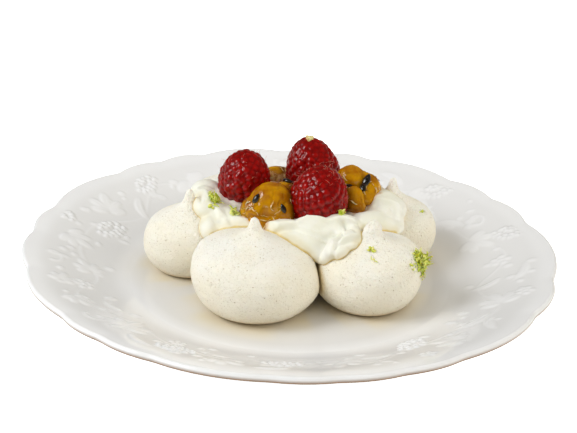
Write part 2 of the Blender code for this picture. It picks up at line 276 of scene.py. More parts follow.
# ---- The camera, in metres and degrees
CAMERA_DOWN = 23.868
CAMERA_ROLL = 2.271
CAMERA_AIM = (-0.00118, 0.03781, 0.015)
CAMERA_DISTANCE = 0.6
CAMERA_LENS = 88.42
SENSOR = 36


# ---- Ways of working
def select(*pieces):
    """Selects these pieces and nothing else; the first is the active one."""
    bpy.ops.object.select_all(action="DESELECT")
    for piece in pieces:
        piece.select_set(True)
    bpy.context.view_layer.objects.active = pieces[0]


def link(thing):
    bpy.context.scene.collection.objects.link(thing)


def rows_of(piece, what):
    """A triple for each point, one row each."""
    rows = np.empty(len(piece.data.vertices) * 3)
    piece.data.vertices.foreach_get(what, rows)
    return rows.reshape(-1, 3)


def points_of(piece):
    return rows_of(piece, "co")


def normals_of(piece):
    return rows_of(piece, "normal")


def set_points(piece, rows):
    piece.data.vertices.foreach_set("co", np.ascontiguousarray(rows).ravel())
    piece.data.update()


def push(piece, distances):
    """Moves each point outwards by its own distance in millimetres."""
    rows = points_of(piece) / MM
    set_points(piece, (rows + normals_of(piece) * distances[:, None]) * MM)


def paint(piece, name, values):
    """Keeps a number for each point under a name that a material can read."""
    layer = piece.data.attributes.new(name, "FLOAT", "POINT")
    layer.data.foreach_set("value", np.asarray(values, np.float32))


def apply_modifier(piece, kind, **settings):
    select(piece)
    made = piece.modifiers.new(kind.lower(), kind)
    for name, value in settings.items():
        setattr(made, name, value)
    bpy.ops.object.modifier_apply(modifier=made.name)


def edit_all():
    bpy.ops.object.mode_set(mode="EDIT")
    bpy.ops.mesh.select_all(action="SELECT")


def close_edit():
    """Turns every face outwards and leaves edit mode."""
    bpy.ops.mesh.select_all(action="SELECT")
    bpy.ops.mesh.normals_make_consistent(inside=False)
    bpy.ops.object.mode_set(mode="OBJECT")


def smoothstep(value):
    value = np.clip(value, 0, 1)
    return value * value * (3 - 2 * value)


def uneven(rows, size, seed):
    """Smooth noise from -1 to 1 at each point, with bumps of about that size."""
    shift = Vector((seed * 7.1, seed * 3.7, seed * 5.3))
    return np.array([noise.noise(Vector(row) / size + shift) for row in rows])


def turned(name, profile, steps):
    """A closed piece turned about the Z axis from (radius, height) pairs."""
    bpy.ops.mesh.primitive_plane_add(size=MM)
    piece = bpy.context.object
    piece.name = name
    edit_all()
    bpy.ops.mesh.merge(type="CENTER")
    bpy.ops.transform.translate(value=(profile[0][0], 0, profile[0][1]))
    for start, end in zip(profile, profile[1:]):
        move = (end[0] - start[0], 0, end[1] - start[1])
        bpy.ops.mesh.extrude_region_move(TRANSFORM_OT_translate={"value": move})
    bpy.ops.object.mode_set(mode="OBJECT")
    bpy.ops.object.transform_apply(location=True, rotation=True, scale=True)
    apply_modifier(
        piece, "SCREW", axis="Z", angle=tau, steps=steps, render_steps=steps,
        use_merge_vertices=True, merge_threshold=MERGE,
    )
    edit_all()
    bpy.ops.mesh.remove_doubles(threshold=MERGE)
    close_edit()
    return piece


def drawn(name, sides, path, widths):
    """A closed strand made by extruding a small disc along a path and resizing its end."""
    bpy.ops.mesh.primitive_circle_add(vertices=sides, radius=widths[0], fill_type="NGON")
    piece = bpy.context.object
    piece.name = name
    edit_all()
    for number in range(1, len(path)):
        move = tuple(b - a for a, b in zip(path[number - 1], path[number]))
        bpy.ops.mesh.extrude_region_move(TRANSFORM_OT_translate={"value": move})
        share = widths[number] / widths[number - 1]
        bpy.ops.transform.resize(value=(share, share, share), center_override=path[number])
    close_edit()
    return piece


def spread(models, places, name):
    """Copies of the models joined into one piece. A place is a model's number and a matrix."""
    copies = []
    for number, matrix in places:
        copy = models[number].copy()
        copy.data = models[number].data.copy()
        copy.data.transform(matrix)
        link(copy)
        copies.append(copy)
    for model in models:
        bpy.data.objects.remove(model)
    return joined(copies, name)


def spaced(profile, step):
    """The same profile with its points a step apart."""
    line = np.array(profile)
    along = np.concatenate([[0], np.cumsum(np.linalg.norm(np.diff(line, axis=0), axis=1))])
    marks = np.linspace(0, along[-1], max(4, round(along[-1] / step)))
    return [(np.interp(m, along, line[:, 0]), np.interp(m, along, line[:, 1])) for m in marks]


def filling_box(rows, node, top_gap=0.0):
    """The points moved and sized so that they fill the CAD node's box, less a gap at the top."""
    low, high = (np.array(corner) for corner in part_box(node))
    high[2] -= top_gap * MM
    own_low, own_high = rows.min(0), rows.max(0)
    return low + (rows - own_low) * (high - low) / (own_high - own_low)


def ball(centre, radii, fineness=4):
    bpy.ops.mesh.primitive_ico_sphere_add(
        subdivisions=fineness, radius=1, location=Vector(centre) * MM, scale=Vector(radii) * MM
    )
    return bpy.context.object


def joined(pieces, name):
    select(*pieces)
    bpy.ops.object.join()
    piece = bpy.context.object
    bpy.ops.object.transform_apply(location=True, rotation=True, scale=True)
    piece.name = name
    return piece


def nearness(rows, pieces):
    """How far each point is, in millimetres, from the nearest point of the pieces."""
    others = np.concatenate([points_of(piece) for piece in pieces])
    near = KDTree(len(others))
    for number, row in enumerate(others):
        near.insert(row, number)
    near.balance()
    return np.array([near.find(row)[2] for row in rows]) / MM


def surface_of(pieces):
    """The pieces' faces as one tree that finds the nearest place on them."""
    points, faces = [], []
    for piece in pieces:
        first = len(points)
        points += [vertex.co.copy() for vertex in piece.data.vertices]
        faces += [[first + number for number in face.vertices] for face in piece.data.polygons]
    return BVHTree.FromPolygons(points, faces)


def any_way(dice, reach=1.0):
    return Vector([dice.uniform(-reach, reach) for _ in range(3)])


def stood(direction, side="Y"):
    """A turn that stands the Z axis along a direction."""
    return direction.to_track_quat("Z", side).to_matrix().to_4x4()


def twisted(dice, direction, side="Y"):
    """The same, then turned at random about that direction."""
    return stood(direction, side) @ Matrix.Rotation(dice.uniform(0, tau), 4, "Z")


def laid(way, normal):
    """A turn that lays the X axis along a way, flat on a surface with this normal."""
    return Matrix((way, normal.cross(way), normal)).transposed().to_4x4()


def finished(piece, finish, slot=None, *nodes):
    """Gives a piece its material and says what it rides on and stands for. The slot is not used."""
    piece.data.materials.clear()
    piece.data.materials.append(finish)
    piece.data.shade_smooth()
    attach(piece, "root")
    if nodes:
        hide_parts(*nodes)
    return piece


# ---- Nodes and effects
def feed(tree, sockets, values):
    """Gives sockets their values or other nodes' outputs; underscores stand for spaces."""
    for label, value in values.items():
        socket = sockets[label.replace("_", " ") if isinstance(label, str) else label]
        if isinstance(value, bpy.types.NodeSocket):
            tree.links.new(value, socket)
        else:
            socket.default_value = value


def put(tree, kind, inputs=None, **settings):
    made = tree.nodes.new("ShaderNode" + kind)
    for name, value in settings.items():
        setattr(made, name, value)
    feed(tree, made.inputs, inputs or {})
    return made


def math_node(tree, operation, first, second):
    return put(tree, "Math", {0: first, 1: second}, operation=operation).outputs[0]


def times(tree, first, second):
    return math_node(tree, "MULTIPLY", first, second)


def mixed(tree, share, first, second):
    return put(tree, "Mix", {0: share, 6: first, 7: second}, data_type="RGBA").outputs[2]


def ramp(tree, value, low, high, to_low=0.0, to_high=1.0):
    inputs = {0: value, 1: low, 2: high, 3: to_low, 4: to_high}
    return put(tree, "MapRange", inputs, interpolation_type="SMOOTHSTEP").outputs[0]


def place(tree):
    return put(tree, "TexCoord").outputs["Object"]


def painted(tree, name):
    return put(tree, "Attribute", attribute_name=name).outputs["Fac"]


def effect(name, inputs, outputs):
    """A node group with these inputs and starting values, and these kinds of output."""
    tree = bpy.data.node_groups.new(name, "ShaderNodeTree")
    for label, value in inputs.items():
        kind = "NodeSocketFloat" if isinstance(value, float) else "NodeSocketColor"
        socket = tree.interface.new_socket(label, in_out="INPUT", socket_type=kind)
        socket.default_value = value
    for label, kind in outputs.items():
        tree.interface.new_socket(label, in_out="OUTPUT", socket_type="NodeSocket" + kind)
    start = tree.nodes.new("NodeGroupInput")
    end = tree.nodes.new("NodeGroupOutput")
    return tree, start.outputs, end.inputs


def mottle_effect():
    """Two tints that run into each other in soft patches."""
    tree, given, out = effect(
        "mottle",
        {"Tint A": (1, 1, 1, 1), "Tint B": (0.5, 0.5, 0.5, 1), "Fineness": 100.0, "Low": 0.35,
         "High": 0.65},
        {"Colour": "Color", "Mask": "Float"},
    )
    patchy = {"Vector": place(tree), "Scale": given["Fineness"], "Detail": 4.0}
    patches = put(tree, "TexNoise", patchy).outputs["Fac"]
    mask = ramp(tree, patches, given["Low"], given["High"])
    feed(tree, out, {"Colour": mixed(tree, mask, given["Tint A"], given["Tint B"]), "Mask": mask})
    return tree


def pores_effect():
    """Small round pits, some left out at random and thicker in some places than in others."""
    given = {"Fineness": 900.0, "Width": 0.3, "Kept": 0.4}
    tree, given, out = effect("pores", given, {"Mask": "Float", "Height": "Float"})
    spots = {"Vector": place(tree), "Scale": given["Fineness"], "Randomness": 1.0}
    cells = put(tree, "TexVoronoi", spots)
    crowd = put(tree, "TexNoise", {"Vector": place(tree), "Scale": 90.0, "Detail": 2.0})
    pick = put(tree, "SeparateColor", {0: cells.outputs["Color"]})
    level = times(tree, times(tree, crowd.outputs["Fac"], given["Kept"]), 2.0)
    kept = math_node(tree, "LESS_THAN", pick.outputs[0], level)
    wide = times(tree, pick.outputs[1], given["Width"])
    wide = math_node(tree, "ADD", wide, times(tree, given["Width"], 0.4))
    pit = ramp(tree, cells.outputs["Distance"], wide, 0.0)
    mask = times(tree, pit, kept)
    feed(tree, out, {"Mask": mask, "Height": math_node(tree, "SUBTRACT", 1.0, mask)})
    return tree


def grain_effect():
    """A fine uneven surface as a height from 0 to 1."""
    tree, given, out = effect("grain", {"Fineness": 500.0, "Detail": 4.0}, {"Height": "Float"})
    ground = {"Vector": place(tree), "Scale": given["Fineness"], "Detail": given["Detail"]}
    feed(tree, out, {"Height": put(tree, "TexNoise", ground).outputs["Fac"]})
    return tree


EFFECTS = {"mottle": mottle_effect(), "pores": pores_effect(), "grain": grain_effect()}


def use(tree, name, **inputs):
    """Places an effect in a material with its own values."""
    return put(tree, "Group", inputs, node_tree=EFFECTS[name]).outputs


def tint(red, green, blue):
    """The light of a colour given as it looks on a screen, from 0 to 255."""
    parts = [value / 255 for value in (red, green, blue)]
    light = [p / 12.92 if p <= 0.04045 else ((p + 0.055) / 1.055) ** 2.4 for p in parts]
    return (*light, 1.0)


def linked(finish, **looks):
    """The finish, with these constants or outputs on its shader's sockets."""
    feed(finish.node_tree, finish.node_tree.nodes["Principled BSDF"].inputs, looks)
    return finish


def new_finish(name, soft=(), coat=(), **constants):
    """A material whose shader has these constants on its own sockets.

    Soft is the weight, scale and radii of the light under the surface, and coat is the weight and
    roughness of the gloss over it.
    """
    finish = bpy.data.materials.new(name)
    finish.use_nodes = True
    constants.update(zip(("Subsurface_Weight", "Subsurface_Scale", "Subsurface_Radius"), soft))
    constants.update(zip(("Coat_Weight", "Coat_Roughness"), coat))
    return linked(finish, **constants), finish.node_tree


def bump(tree, height, distance, strength, onto=None):
    inputs = {"Height": height, "Distance": distance, "Strength": strength}
    if onto:
        inputs["Normal"] = onto
    return put(tree, "Bump", inputs).outputs["Normal"]


def grainy(tree, fineness, detail, distance, strength):
    height = use(tree, "grain", Fineness=fineness, Detail=detail)["Height"]
    return bump(tree, height, distance, strength)


def mottled(tree, first, second, fineness, **limits):
    """The mottle of two tints, given as they look on a screen."""
    return use(
        tree, "mottle", Tint_A=tint(*first), Tint_B=tint(*second), Fineness=fineness, **limits
    )


def washed(tree, name, under, *over):
    """A colour with a tint laid over it where the paint of this name is thick."""
    return mixed(tree, painted(tree, name), under, tint(*over))


# ---- Materials
def porcelain_finish():
    finish, tree = new_finish(
        "glazed_porcelain", coat=(0.45, 0.06), IOR=1.5, Coat_IOR=1.5, Specular_IOR_Level=0.2
    )
    glaze = mottled(tree, (245, 246, 250), (242, 243, 248), 30.0, Low=0.15, High=0.85)
    # Painted shade: the glaze is tinted darker on the low ground between the relief motifs and over
    # the well.
    hollow_shaded = washed(tree, "painted_hollow_shade", glaze["Colour"], 222, 222, 224)
    # Painted shade: a warm darker tint on the glaze round the feet of the kisses.
    near = washed(tree, "painted_warm_shade", hollow_shaded, 230, 219, 190)
    return linked(
        finish,
        # Painted shade and painted reflection: the downward faces of the rim are tinted brown.
        Base_Color=washed(tree, "edge", near, 150, 118, 86),
        Roughness=ramp(tree, glaze["Mask"], 0, 1, 0.2, 0.26),
        Normal=grainy(tree, 60.0, 1.0, 0.0004, 0.3),
    )


def meringue_finish():
    finish, tree = new_finish(
        "baked_meringue", soft=(0.2, 0.0016, (1.0, 0.8, 0.6)), Specular_IOR_Level=0.25
    )
    crust = mottled(tree, (252, 250, 243), (250, 246, 234), 70.0)
    height = put(tree, "SeparateXYZ", {0: place(tree)}).outputs[2]
    # Painted shade: the meringue is tinted warmer and darker towards the bottom.
    low = times(tree, ramp(tree, height, 0.036, 0.008), 0.6)
    # A golden-brown band at the foot: baked browning, and painted contact shade.
    foot = ramp(tree, height, 0.0105, 0.0065, 0.0, 0.6)
    warm = mixed(tree, low, crust["Colour"], tint(245, 232, 202))
    warm = mixed(tree, foot, warm, tint(206, 172, 116))
    # Painted light: the seams where the kisses meet are tinted a light gold that lifts their shade.
    warm = washed(tree, "painted_seam_light", warm, 252, 232, 184)
    pores = use(tree, "pores", Fineness=900.0, Width=0.27, Kept=0.30)
    fine = use(tree, "pores", Fineness=1700.0, Width=0.42, Kept=0.75)
    # The pores are tinted a dark beige: brownish specks, and painted shade in the pits.
    shallow, deep = times(tree, fine["Mask"], 0.36), times(tree, pores["Mask"], 0.8)
    dark = math_node(tree, "MAXIMUM", shallow, deep)
    onto = grainy(tree, 1100.0, 5.0, 0.0008, 0.8)
    onto = bump(tree, fine["Height"], 0.0004, 0.6, onto)
    return linked(
        finish,
        Base_Color=mixed(tree, dark, warm, tint(182, 160, 122)),
        Roughness=ramp(tree, crust["Mask"], 0, 1, 0.62, 0.8),
        Normal=bump(tree, pores["Height"], 0.0004, 0.7, onto),
    )


def cream_finish():
    finish, tree = new_finish(
        "whipped_cream", soft=(0.15, 0.0007, (1.0, 0.9, 0.6)), Specular_IOR_Level=0.35
    )
    whip = mottled(tree, (246, 246, 238), (240, 240, 226), 60.0)
    syrup, juice = painted(tree, "syrup"), painted(tree, "juice")
    # Painted shade: a golden darker tint where the cream meets the kisses.
    warm = washed(tree, "painted_kiss_shade", whip["Colour"], 220, 194, 118)
    wet = mixed(tree, syrup, warm, tint(226, 194, 158))
    gloss = math_node(tree, "MAXIMUM", syrup, juice)
    return linked(
        finish,
        Base_Color=mixed(tree, juice, wet, tint(222, 172, 166)),
        Roughness=ramp(tree, gloss, 0, 1, 0.5, 0.14),
        Normal=grainy(tree, 450.0, 5.0, 0.0004, 0.3),
    )


def raspberry_finish():
    finish, tree = new_finish(
        "raspberry_flesh", soft=(0.12, 0.0012, (1.0, 0.08, 0.05)), coat=(0.65, 0.15),
        Specular_IOR_Level=0.03, Sheen_Weight=0.03, Sheen_Roughness=0.45,
        Sheen_Tint=(1.0, 0.3, 0.2, 1),
    )
    flesh = mottled(tree, (158, 4, 2), (132, 0, 0), 300.0)
    toned = washed(tree, "tone", flesh["Colour"], 172, 12, 6)
    return linked(
        finish,
        # Painted shade: the creases between the drupelets are tinted darker.
        Base_Color=washed(tree, "painted_crease_shade", toned, 96, 0, 0),
        Roughness=ramp(tree, flesh["Mask"], 0, 1, 0.34, 0.46),
        Normal=grainy(tree, 1500.0, 3.0, 0.0002, 0.4),
    )


def pulp_finish():
    finish, tree = new_finish(
        "passion_fruit_pulp", soft=(0.3, 0.002, (1.0, 0.7, 0.05)), coat=(0.8, 0.07),
        Specular_IOR_Level=0.06,
    )
    flesh = mottled(tree, (202, 145, 0), (162, 98, 0), 160.0)
    drawn_out = put(tree, "Mapping", {0: place(tree), 3: (1.0, 1.0, 0.25)}).outputs[0]
    streaks = put(tree, "TexNoise", {"Vector": drawn_out, "Scale": 900.0, "Detail": 3.0})
    streaks = streaks.outputs["Fac"]
    pale = ramp(tree, streaks, 0.56, 0.72, 0.0, 0.2)
    body = mixed(tree, pale, flesh["Colour"], tint(214, 164, 66))
    dark = washed(tree, "shade", body, 84, 40, 0)
    veil = ramp(tree, streaks, 0.40, 0.62, 0.25, 1.0)
    film = times(tree, painted(tree, "film"), veil)
    return linked(
        finish,
        Base_Color=mixed(tree, film, dark, tint(226, 184, 128)),
        Roughness=ramp(tree, flesh["Mask"], 0, 1, 0.14, 0.26),
        Normal=bump(tree, streaks, 0.0004, 0.3, grainy(tree, 420.0, 4.0, 0.0006, 0.35)),
    )


def seed_finish():
    finish, tree = new_finish("passion_fruit_seed", coat=(0.8, 0.08))
    shell = mottled(tree, (14, 11, 9), (34, 27, 22), 700.0)
    pits = use(tree, "pores", Fineness=1500.0, Width=0.45, Kept=0.9)
    return linked(
        finish,
        # Painted shade: the pits are tinted darker.
        Base_Color=mixed(tree, pits["Mask"], shell["Colour"], tint(10, 8, 8)),
        Roughness=ramp(tree, shell["Mask"], 0, 1, 0.25, 0.4),
        Normal=bump(tree, pits["Height"], 0.0003, 0.6),
    )


def plain_finish(name, tints, fineness, rough=None, grain=None, **constants):
    """A material of two tints, with a range of roughness and a grain if it has them."""
    finish, tree = new_finish(name, **constants)
    body = mottled(tree, *tints, fineness)
    if rough:
        linked(finish, Roughness=ramp(tree, body["Mask"], 0, 1, *rough))
    if grain:
        linked(finish, Normal=grainy(tree, *grain))
    return linked(finish, Base_Color=body["Colour"])


def hair_finish():
    return plain_finish("raspberry_hair", ((226, 150, 124), (196, 92, 80)), 500.0, Roughness=0.5)


def nub_finish():
    return plain_finish(
        "raspberry_core", ((236, 230, 170), (196, 160, 92)), 900.0,
        grain=(2200.0, 3.0, 0.0003, 0.6), soft=(0.2, 0.001), Roughness=0.55,
    )


def fibre_finish():
    return plain_finish(
        "passion_fruit_fibre", ((244, 214, 160), (224, 168, 84)), 300.0, rough=(0.15, 0.3),
        soft=(0.3, 0.001), coat=(0.8, 0.05),
    )


def zest_finish():
    return plain_finish(
        "lime_zest", ((196, 208, 50), (240, 240, 140)), 450.0, rough=(0.35, 0.55),
        grain=(1800.0, 3.0, 0.0003, 0.6), soft=(0.2, 0.001),
    )


def floor_finish():
    finish, tree = new_finish("pale_floor", Roughness=0.9, Specular_IOR_Level=0.1)
    pale = mottled(tree, (252, 252, 252), (250, 250, 250), 5.0)["Colour"]
    straight = put(tree, "LightPath").outputs["Is Camera Ray"]
    glow = times(tree, straight, 0.9)
    return linked(finish, Base_Color=pale, Emission_Color=pale, Emission_Strength=glow)


# ---- The plate
def plate_top(radius):
    along = np.clip((radius - WELL) / (RIM - WELL), 0, None)
    return WELL_HEIGHT + (RIM_HEIGHT - WELL_HEIGHT) * (0.45 * along + 0.55 * smoothstep(along))


def lobe_reach(angle):
    """How far the scalloped edge stands out from the mean rim at this angle in degrees."""
    reach = np.zeros_like(angle)
    for start, end in zip(NOTCHES, NOTCHES[1:] + (NOTCHES[0] + 360,)):
        width = end - start
        share = (angle - start) % 360 / width
        rise = SMALL_RISE + (LARGE_RISE - SMALL_RISE) * np.clip((width - 14) / 8, 0, 1)
        bow = -NOTCH_DEPTH + (NOTCH_DEPTH + rise) * np.sin(np.pi * np.clip(share, 0, 1)) ** 0.8
        reach = np.where(share <= 1, bow, reach)
    return reach


def softened(angle):
    """The reach with the points of its notches rounded off."""
    spots = np.linspace(-180, 180, 1441)
    line = lobe_reach(spots)
    around = np.concatenate([line[-9:-1], line, line[1:9]])
    window = np.hanning(19)
    return np.interp(angle, spots, np.convolve(around, window[1:-1] / window.sum(), "valid"))


def mound(u, v, long, wide):
    """A soft oval swelling, 1 high in its middle."""
    return np.sqrt(np.clip(1 - (u / long) ** 2 - (v / wide) ** 2, 0, 1))


def grapes(u, v, size):
    height = np.zeros_like(u)
    for row, count in enumerate((2, 3, 4, 4, 3, 2)):
        for number in range(count):
            x = (number - (count - 1) / 2) * 2.75 * size + 0.3 * sin(7 * row + 3 * number)
            y = (row - 2.5) * 2.4 * size + 0.3 * cos(5 * row + 4 * number)
            height = np.maximum(height, 1.15 * mound(u - x, v - y, 1.25 * size, 1.25 * size))
    return height


def leaf(u, v, size):
    height = np.zeros_like(u)
    for turn, long in ((-78, 4.0), (-40, 5.0), (0, 6.2), (40, 5.0), (78, 4.0)):
        angle = radians(turn + 90)
        along = u * cos(angle) + (v + 4 * size) * sin(angle) - long * size
        aside = (v + 4 * size) * cos(angle) - u * sin(angle)
        lobe = mound(along, aside, long * size, 2.5 * size) ** 1.5
        height = np.maximum(height, lobe * (0.8 - 0.2 * np.exp(-((aside / 0.5) ** 2))))
    return height


def blade(u, v, size):
    bent = v - 1.5 * size * (1 - (u / (7.5 * size)) ** 2)
    vein = 0.75 - 0.2 * np.exp(-((bent / 0.5) ** 2))
    return mound(u, bent, 7.5 * size, 2.1 * size) ** 1.5 * vein


def blossom(u, v, size):
    height = 0.9 * mound(u, v, 1.2 * size, 1.2 * size)
    for angle in np.radians(np.arange(5) * 72 + 20):
        x, y = 2.7 * size * cos(angle), 2.7 * size * sin(angle)
        height = np.maximum(height, 0.7 * mound(u - x, v - y, 1.6 * size, 1.6 * size))
    return height


def curl(u, v, size):
    height = np.zeros_like(u)
    for turn in np.linspace(0, 1, 60):
        angle = turn * 9
        x = size * (10 * turn - 4 + 2.6 * cos(angle) * (1 - 0.5 * turn))
        y = size * 2.8 * sin(angle) * (1 - 0.4 * turn)
        height = np.maximum(height, 0.5 * np.exp(-((u - x) ** 2 + (v - y) ** 2) / 0.5))
    return height


SHAPES = {"grapes": grapes, "leaf": leaf, "blade": blade, "blossom": blossom, "curl": curl}


def relief(radius, angle):
    """Height of the moulded border at each point, in shares of its full height."""
    height = np.zeros_like(radius)
    for kind, motifs in RELIEF.items():
        for middle, bearing, turn, size in motifs:
            away = np.radians((angle - bearing + 180) % 360 - 180) * middle
            out = radius - middle
            turn = radians(turn)
            near = (np.abs(away) < MOTIF_REACH) & (np.abs(out) < MOTIF_REACH)
            u = away[near] * cos(turn) + out[near] * sin(turn)
            v = out[near] * cos(turn) - away[near] * sin(turn)
            height[near] = np.maximum(height[near], SHAPES[kind](u, v, size))
    stem = 82 + 5 * np.sin(np.radians(angle * 9)) + 2 * np.sin(np.radians(angle * 14 + 40))
    height = np.maximum(height, 0.3 * np.exp(-(((radius - stem) / 0.7) ** 2)))
    dice = random.Random(BUD_DICE)
    for _ in range(BUDS):
        turn, out = dice.uniform(0, tau), dice.uniform(71, 96)
        x = radius * np.cos(np.radians(angle)) - out * cos(turn)
        y = radius * np.sin(np.radians(angle)) - out * sin(turn)
        bud = 0.5 * mound(x, y, dice.uniform(1.1, 2.4), dice.uniform(1.1, 2.0))
        height = np.maximum(height, bud)
    inside = smoothstep((radius - RELIEF_INNER) / 3) * smoothstep((RELIEF_OUTER - radius) / 3)
    return height * inside


def plate():
    well = [(radius, WELL_HEIGHT) for radius in (0, 6, 16, 28, 40, 50, 58)]
    border = [(radius, float(plate_top(radius))) for radius in np.arange(63, RIM - 1.5, 0.62)]
    turn = [
        (RIM + LIP / 2 * (cos(a) - 1), RIM_HEIGHT - LIP / 2 + LIP / 2 * sin(a))
        for a in np.radians([75, 50, 25, 0, -25, -50, -75])
    ]
    under = [(radius, float(plate_top(radius)) - WALL) for radius in (98, 92, 86, 80, 74, 68)]
    inner, base = FOOT - FOOT_WIDTH, WELL_HEIGHT - WALL
    foot = [
        (FOOT + 1.6, base - 0.2), (FOOT + 0.6, 0.8), (FOOT, 0.15), (FOOT - 0.5, 0),
        (inner + 0.5, 0), (inner, 0.15), (inner - 1, 2.3), (inner - 2, base), (30, base), (0, base),
    ]
    profile = [(r * MM, z * MM) for r, z in well + border + turn + under + foot]
    piece = turned("porcelain_plate", profile, PLATE_STEPS)
    rows = points_of(piece) / MM
    radius = np.hypot(rows[:, 0], rows[:, 1])
    angle = np.degrees(np.arctan2(rows[:, 1], rows[:, 0]))
    fade = smoothstep((radius / RIM - 0.86) / 0.14)
    reach = softened(angle)
    top = rows[:, 2] > plate_top(radius) - 0.5 * WALL
    raised = relief(radius, angle) * top
    rows[:, 2] += RELIEF_HEIGHT * raised + fade * EDGE_WAVE * reach
    rows[:, :2] *= (1 + fade * reach / np.maximum(radius, 1))[:, None]
    # Painted shade: the low ground between the relief motifs, and the well, are marked to be glazed
    # darker.
    border_share = smoothstep((radius - 66) / 6) * smoothstep((101 - radius) / 6)
    ground = smoothstep((0.45 - raised) / 0.45) * border_share
    well_share = smoothstep((66 - radius) / 7)
    set_points(piece, filling_box(rows * MM, "plate"))
    paint(piece, "painted_hollow_shade", np.maximum(0.3 * ground, 0.9 * well_share) * top)
    # Painted shade and painted reflection: the faces near the rim that look downwards are marked to
    # be tinted brown.
    under = smoothstep((0.3 - normals_of(piece)[:, 2]) / 0.6)
    paint(piece, "edge", under * smoothstep((radius - RIM + 6) / 4))
    # Painted shade: the glaze round the foot of each kiss is marked for a warm darker tint,
    # strongest at the contact.
    far = [np.hypot(rows[:, 0] - k.x, rows[:, 1] - k.y) - 0.9 * k.widest for k in KISSES.values()]
    far = np.min(far, axis=0)
    painted_warm_shade = 0.25 * smoothstep((16 - far) / 18) + 0.5 * smoothstep((2.5 - far) / 3)
    paint(piece, "painted_warm_shade", painted_warm_shade * top)
    return finished(piece, porcelain_finish(), "porcelain", "plate")


# ---- The meringue
def kiss_radius(share, peak, taper):
    """Radius, in widest radii, at a share of the height: a dome drawn out to a peak."""
    body = np.interp(share, KISS_SHARES, KISS_BODY)
    spire = (peak + taper * (1 - share)) * smoothstep((share - 0.5) / 0.3)
    rounding = np.sqrt(np.minimum(1, (1 - share) / (0.6 * peak)))
    return rounding * (body**3 + spire**3) ** (1 / 3)


def kiss(name, number, finish):
    size = KISSES[name]
    shares = 1 - np.linspace(0, 1, 400) ** 1.6
    radii = kiss_radius(shares, size.peak / size.widest, size.taper) * size.widest
    radii[5:-5] = np.convolve(radii, np.ones(11) / 11, "valid")
    side = spaced([(0, size.tall)] + list(zip(radii, shares * size.tall)) + [(0, 0)], KISS_STEP)
    piece = turned("meringue_" + name, [(r * MM, z * MM) for r, z in side], KISS_STEPS)
    rows = points_of(piece) / MM
    share = rows[:, 2] / size.tall
    uphill = np.radians(size.uphill)
    slope = rows[:, 0] * np.cos(uphill) + rows[:, 1] * np.sin(uphill)
    rows[:, 2] += size.shoulder * slope * smoothstep(2 * share)
    rows[:, 0] += size.lean_x * share**2
    rows[:, 1] += size.lean_y * share**2
    # Painted light: where two kisses meet, the seam is marked for a light gold tint against its
    # shade.
    painted_seam_light = np.zeros(len(rows))
    for other in KISSES.values():
        apart = np.array((other.x - size.x, other.y - size.y))
        far = np.linalg.norm(apart)
        reach = (far + size.widest - other.widest) / 2 - GAP / 2
        if other != size and reach < size.widest:
            excess = rows[:, :2] @ (apart / far) - reach
            painted_seam_light = np.maximum(painted_seam_light, smoothstep((excess + 1.4) / 1.6))
            cut = np.logaddexp(0, excess / SEAM_SOFTNESS) * SEAM_SOFTNESS
            rows[:, :2] -= cut[:, None] * (apart / far)
    set_points(piece, rows * MM)
    out = normals_of(piece)
    swell = 0.28 * uneven(rows, 11, number) + 0.10 * uneven(rows, 4.5, number + 9)
    swell *= smoothstep(share * 6)
    set_points(piece, filling_box((rows + out * swell[:, None]) * MM, "kiss_" + name))
    paint(piece, "painted_seam_light", 0.7 * painted_seam_light)
    return finished(piece, finish, "meringue", "kiss_" + name)


# ---- The cream
def one_skin(piece, voxel, rounds):
    apply_modifier(piece, "REMESH", mode="VOXEL", voxel_size=voxel * MM)
    apply_modifier(piece, "SMOOTH", iterations=rounds, factor=0.5)


def lumped(rows, name, voxel, rounds):
    """Balls at these places and of these radii, grown together into one piece."""
    piece = joined([ball(row[:3], row[3:]) for row in rows], name)
    one_skin(piece, voxel, rounds)
    return piece


def stroke_lift(rows):
    """How far the strokes together lift each point."""
    move = np.zeros(len(rows))
    for width, lift, path in STROKES:
        away = np.full(len(rows), 1e9)
        for start, end in zip(path, path[1:]):
            start, line = np.array(start), np.subtract(end, start)
            share = np.clip((rows - start) @ line / (line @ line), 0, 1)
            off = (rows - start - share[:, None] * line) * (1, 1, 0.3)
            away = np.minimum(away, np.linalg.norm(off, axis=1))
        move += lift * np.exp(-((away / width) ** 2))
    return move


def cream(berries, pulps, kisses):
    piece = lumped(CREAM, "whipped_cream", CREAM_VOXEL, CREAM_ROUNDS)
    rows = points_of(piece) / MM
    push(piece, 0.35 + 0.4 * uneven(rows, 9, 31) + 0.12 * uneven(rows, 4, 32))
    push(piece, stroke_lift(points_of(piece) / MM))
    rows = points_of(piece) / MM
    crest = np.clip(1 - np.abs(uneven(rows, 6.5, 35)) / 0.10, 0, 1)
    crest *= smoothstep(uneven(rows, 14, 36) * 4)
    push(piece, 0.22 * crest + 0.06 * uneven(rows, 1.6, 33))
    rows = points_of(piece)
    wander = uneven(rows / MM, 2.5, 41)
    juice = smoothstep((1.5 + 1.2 * wander - nearness(rows, berries)) / 1.6)
    syrup = smoothstep((1.4 + 1.0 * wander - nearness(rows, pulps)) / 1.4)
    from_kiss = nearness(rows, kisses)
    # Painted shade: the cream is marked for a golden tint where it meets the kisses.
    painted_kiss_shade = 0.75 * smoothstep((1.1 + 0.3 * wander - from_kiss) / 0.9)
    painted_kiss_shade += 0.25 * smoothstep((4.4 + 1.0 * wander - from_kiss) / 3.6)
    paint(piece, "juice", juice * 0.35)
    paint(piece, "syrup", syrup * 0.8)
    paint(piece, "painted_kiss_shade", painted_kiss_shade)
    return finished(piece, cream_finish(), "whipped_cream", "cream")


